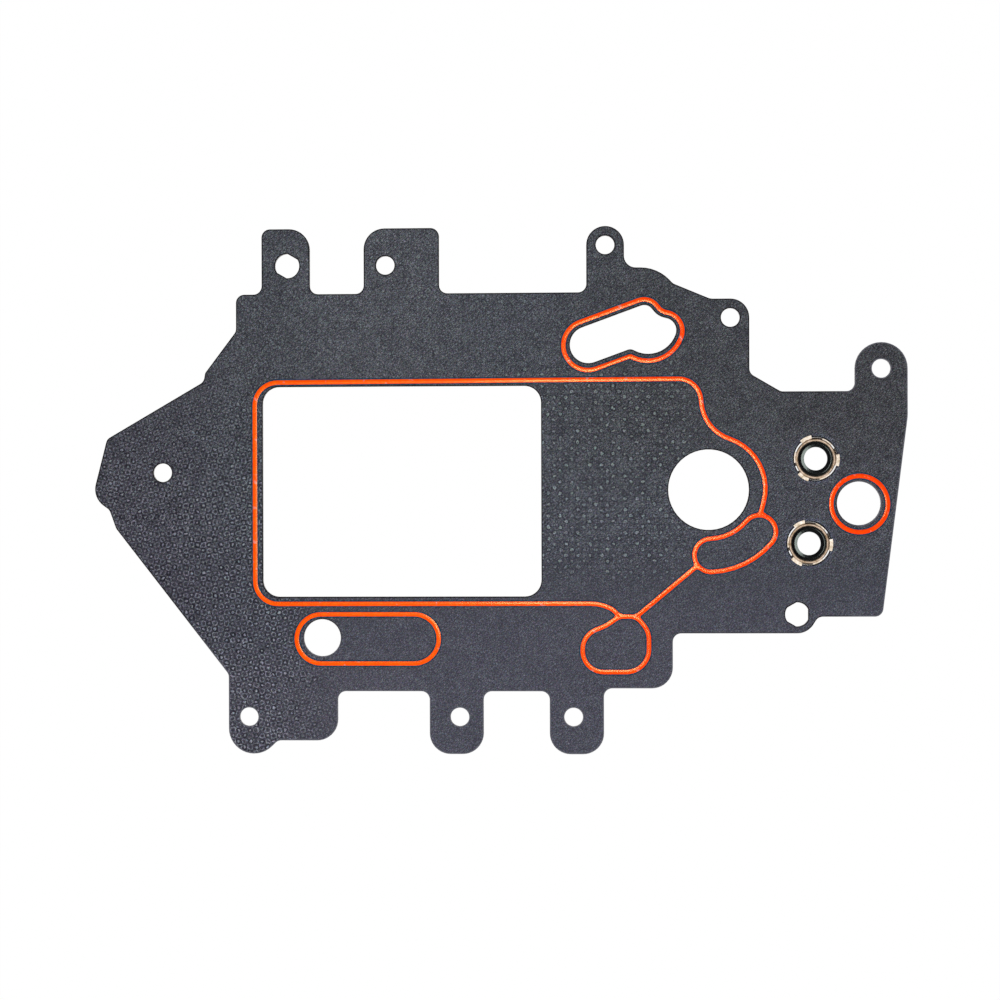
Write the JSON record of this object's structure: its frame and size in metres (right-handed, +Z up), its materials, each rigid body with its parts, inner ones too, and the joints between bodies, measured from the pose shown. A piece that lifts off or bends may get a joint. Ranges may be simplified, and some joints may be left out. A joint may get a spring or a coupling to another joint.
{
  "type": "supercharger gasket",
  "caption": "Flat composite gasket with raised silicone beads round its ports, bolt holes in its tabs, locating holes and small rubber passage seals held by steel clips",
  "frame": {"origin": "middle of the two-flat locating hole, on the lower face of the plate", "axes": "+X along the plate to its right end, +Y across the plate to its upper tabs, +Z up out of the upper face"},
  "size_m": [0.3659, 0.2371, 0.0023],
  "materials": {
    "plate_facing": "dark grey coated fibre facing, matt, faintly dimpled",
    "silicone": "printed orange silicone, satin",
    "seal_steel": "pressed sheet steel, worn zinc finish",
    "seal_rubber": "black moulded rubber, satin"
  },
  "bodies": {
    "root": {"gasket_plate": "plate_facing", "main_bead_top": "silicone", "lobed_port_bead_top": "silicone", "drain_bead_top": "silicone", "coolant_bead_top": "silicone", "main_bead_bottom": "silicone", "lobed_port_bead_bottom": "silicone", "drain_bead_bottom": "silicone", "coolant_bead_bottom": "silicone", "upper_seal_retainer": "seal_steel", "upper_seal_rubber": "seal_rubber", "lower_seal_retainer": "seal_steel", "lower_seal_rubber": "seal_rubber"}
  },
  "joints": []
}
